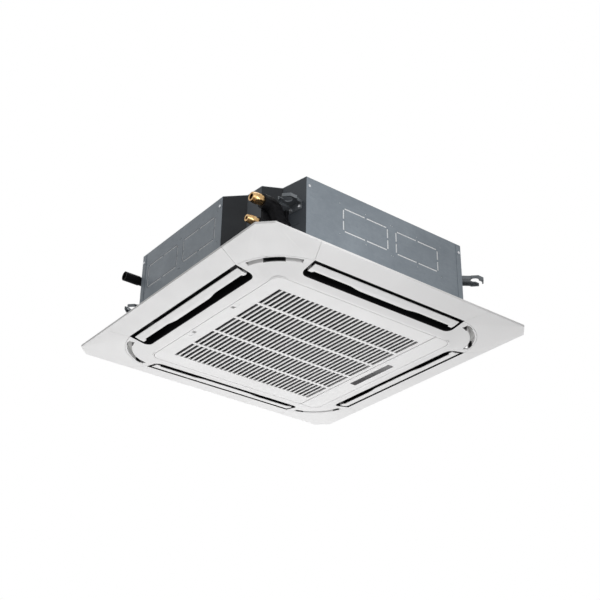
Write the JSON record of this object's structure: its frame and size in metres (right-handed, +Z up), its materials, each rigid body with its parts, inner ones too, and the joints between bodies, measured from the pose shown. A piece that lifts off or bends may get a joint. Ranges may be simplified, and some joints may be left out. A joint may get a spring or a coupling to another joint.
{
  "type": "ceiling cassette air conditioner",
  "caption": "Ceiling cassette air conditioner: sheet-steel casing hung on rods, square white panel with louvered outlets on all sides, hinged slotted intake grille, pipe ends at one corner.",
  "frame": {"origin": "centre of the four hanger rods, in the middle plane of the hook plates", "axes": "+Z up along the hanger rods; the front is -Y and the left is -X; the pipes leave at the front left corner"},
  "size_m": [0.95, 0.95, 0.255],
  "materials": {
    "galvanised_sheet": "satin",
    "zinc_screws": "satin",
    "dark_sheet": "satin",
    "white_foam": "matte",
    "hook_steel": "satin",
    "inner_steel": "satin",
    "aluminium_fins": "satin",
    "aluminium_can": "satin",
    "copper_pipe": "satin",
    "brass_fittings": "polished",
    "black_insulation": "matte",
    "motor_housing": "satin",
    "dark_rubber": "matte",
    "white_fan": "satin",
    "dark_plastic": "satin",
    "pale_plastic": "satin",
    "blue_plastic": "satin",
    "clear_grey_hose": "satin",
    "black_plastic": "satin",
    "green_board": "satin",
    "white_plastic": "satin",
    "filter_mesh": "matte",
    "dark_window": "gloss"
  },
  "bodies": {
    "unit": {"casing_top": "galvanised_sheet", "casing_walls": "galvanised_sheet", "corner_laps": "galvanised_sheet", "casing_screws": "zinc_screws", "pipe_plate": "dark_sheet", "foam_lining": "white_foam", "hanger_hooks": "hook_steel", "hanger_screws": "zinc_screws", "coil_fins": "aluminium_fins", "coil_end_plates": "inner_steel", "coil_bends": "copper_pipe", "gas_header": "copper_pipe", "liquid_header": "copper_pipe", "gas_pipe": "copper_pipe", "liquid_pipe": "copper_pipe", "flare_unions": "brass_fittings", "gas_nut": "brass_fittings", "liquid_nut": "brass_fittings", "gas_sleeve": "black_insulation", "liquid_sleeve": "black_insulation", "fan_motor": "motor_housing", "motor_grommets": "dark_rubber", "motor_screws": "zinc_screws", "bell_mouth": "dark_plastic", "drain_pan": "white_foam", "drain_plug": "dark_rubber", "drain_pump": "pale_plastic", "pump_bracket": "inner_steel", "float_stem": "pale_plastic", "drain_hose": "clear_grey_hose", "drain_stub": "black_plastic", "control_box": "inner_steel", "control_cover": "inner_steel", "main_board": "green_board", "terminal_block": "black_plastic", "capacitor": "aluminium_can", "room_sensor": "black_plastic", "panel_frame": "white_plastic", "panel_seal": "dark_rubber", "panel_tabs": "inner_steel", "panel_screws": "zinc_screws", "corner_covers": "white_plastic", "outlet_liners": "black_plastic", "louver_motors": "pale_plastic", "display_strip": "white_plastic", "display_window": "dark_window"},
    "fan": {"turbo_fan": "white_fan", "fan_nut": "zinc_screws", "motor_shaft": "zinc_screws"},
    "impeller": {"pump_impeller": "blue_plastic"},
    "float": {"float_ring": "pale_plastic"},
    "grille": {"intake_grille": "white_plastic", "air_filter": "filter_mesh", "hinge_pins": "zinc_screws"},
    "catch_front": {"latch_front": "white_plastic"},
    "catch_back": {"latch_back": "white_plastic"},
    "louver_right": {"louver_right": "white_plastic"},
    "louver_back": {"louver_back": "white_plastic"},
    "louver_left": {"louver_left": "white_plastic"},
    "louver_front": {"louver_front": "white_plastic"}
  },
  "joints": [
    {"name": "louver_right_tilt", "type": "hinge", "parent": "unit", "child": "louver_right", "pos_m": [0.374, 0, -0.157], "axis": [0, 1, 0], "range_deg": [0, 60]},
    {"name": "louver_back_tilt", "type": "hinge", "parent": "unit", "child": "louver_back", "pos_m": [0, 0.374, -0.157], "axis": [-1, 0, 0], "range_deg": [0, 60]},
    {"name": "louver_left_tilt", "type": "hinge", "parent": "unit", "child": "louver_left", "pos_m": [-0.374, 0, -0.157], "axis": [0, -1, 0], "range_deg": [0, 60]},
    {"name": "louver_front_tilt", "type": "hinge", "parent": "unit", "child": "louver_front", "pos_m": [0, -0.374, -0.157], "axis": [1, 0, 0], "range_deg": [0, 60]},
    {"name": "grille_hinge", "type": "hinge", "parent": "unit", "child": "grille", "pos_m": [0.2464, 0, -0.1805], "axis": [0, -1, 0], "range_deg": [0, 80]},
    {"name": "catch_front_slide", "type": "slide", "parent": "grille", "child": "catch_front", "axis": [0, 1, 0], "range_m": [0, 0.012], "stiffness_N_per_m": 60, "springref_m": -0.01},
    {"name": "catch_back_slide", "type": "slide", "parent": "grille", "child": "catch_back", "axis": [0, -1, 0], "range_m": [0, 0.012], "stiffness_N_per_m": 60, "springref_m": -0.01},
    {"name": "fan_spin", "type": "hinge", "parent": "unit", "child": "fan", "pos_m": [0, 0, 0], "axis": [0, 0, 1], "continuous": true},
    {"name": "impeller_spin", "type": "hinge", "parent": "unit", "child": "impeller", "pos_m": [-0.29, 0.292, -0.1], "axis": [0, 0, 1], "continuous": true},
    {"name": "float_rise", "type": "slide", "parent": "unit", "child": "float", "axis": [0, 0, 1], "range_m": [0, 0.012]}
  ]
}
